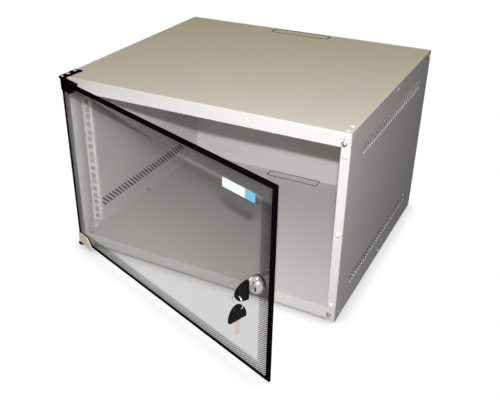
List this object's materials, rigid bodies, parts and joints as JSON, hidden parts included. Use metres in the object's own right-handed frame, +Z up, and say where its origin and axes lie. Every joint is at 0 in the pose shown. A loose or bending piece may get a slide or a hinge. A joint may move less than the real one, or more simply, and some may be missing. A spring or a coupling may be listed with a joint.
{
  "type": "wall mount network cabinet",
  "caption": "Wall mounted steel cabinet for rack equipment, with side vents, rack rails and a hinged frameless glass door with a key lock.",
  "frame": {"origin": "middle of the rear face, which lies on the wall", "axes": "+X to the right seen from the front, +Y into the wall, +Z up"},
  "size_m": [0.5444, 0.6985, 0.3522],
  "materials": {
    "body_paint": "powder coat, light grey, satin",
    "rail_paint": "powder coat, light grey, satin",
    "zinc": "zinc plated",
    "pin_steel": "ground steel",
    "bumper_rubber": "soft, cream",
    "plug_plastic": "moulded, pale",
    "hinge_black": "black paint, satin",
    "clamp_cream": "cream paint, satin",
    "bush_nylon": "nylon",
    "door_glass": "clear toughened, printed border",
    "black_rubber": "matte",
    "lock_chrome": "polished",
    "lock_zinc": "zinc plated",
    "key_metal": "nickel plated",
    "key_plastic": "moulded, black",
    "ring_steel": "plated wire"
  },
  "bodies": {
    "cabinet": {"top_panel": "body_paint", "bottom_panel": "body_paint", "left_side_panel": "body_paint", "right_side_panel": "body_paint", "back_panel": "body_paint", "left_rail": "rail_paint", "right_rail": "rail_paint", "left_lower_bracket": "rail_paint", "left_upper_bracket": "rail_paint", "right_lower_bracket": "rail_paint", "right_upper_bracket": "rail_paint", "bracket_screws": "zinc", "rail_screws": "zinc", "left_side_screws": "zinc", "right_side_screws": "zinc", "front_corner_screws": "zinc", "door_bumpers": "bumper_rubber", "spare_hole_plugs": "plug_plastic", "top_hinge_plate": "hinge_black", "bottom_hinge_plate": "hinge_black", "hinge_plate_screws": "zinc", "top_hinge_bush": "bush_nylon", "bottom_hinge_bush": "bush_nylon"},
    "door": {"door_glass": "door_glass", "top_hinge_clamp": "hinge_black", "bottom_hinge_clamp": "clamp_cream", "top_clamp_pads": "black_rubber", "bottom_clamp_pads": "black_rubber", "clamp_set_screws": "zinc", "top_hinge_pin": "pin_steel", "bottom_hinge_pin": "pin_steel", "lock_body": "lock_chrome", "lock_gaskets": "black_rubber", "lock_nut": "lock_zinc"},
    "lock": {"lock_plug": "lock_chrome", "lock_cam": "lock_zinc", "cam_screw": "zinc", "key_blade": "key_metal", "key_head": "key_plastic"},
    "key_ring": {"key_ring": "ring_steel"},
    "spare_key": {"spare_key_blade": "key_metal", "spare_key_head": "key_plastic"}
  },
  "joints": [
    {"name": "door_hinge", "type": "hinge", "parent": "cabinet", "child": "door", "pos_m": [-0.262, -0.4715, 0], "axis": [0, 0, -1], "range_deg": [-20, 160]},
    {"name": "lock_turn", "type": "hinge", "parent": "door", "child": "lock", "pos_m": [0.21161, -0.64388, 0.00315], "axis": [-0.342, -0.9397, 0], "range_deg": [0, 90]},
    {"name": "ring_swing", "type": "hinge", "parent": "lock", "child": "key_ring", "pos_m": [0.19741, -0.68288, 0.00315], "axis": [0.9397, -0.342, 0], "range_deg": [-75, 15]},
    {"name": "spare_key_swing", "type": "hinge", "parent": "key_ring", "child": "spare_key", "pos_m": [0.19741, -0.68288, -0.01885], "axis": [0.9397, -0.342, 0], "range_deg": [-60, 10]}
  ]
}
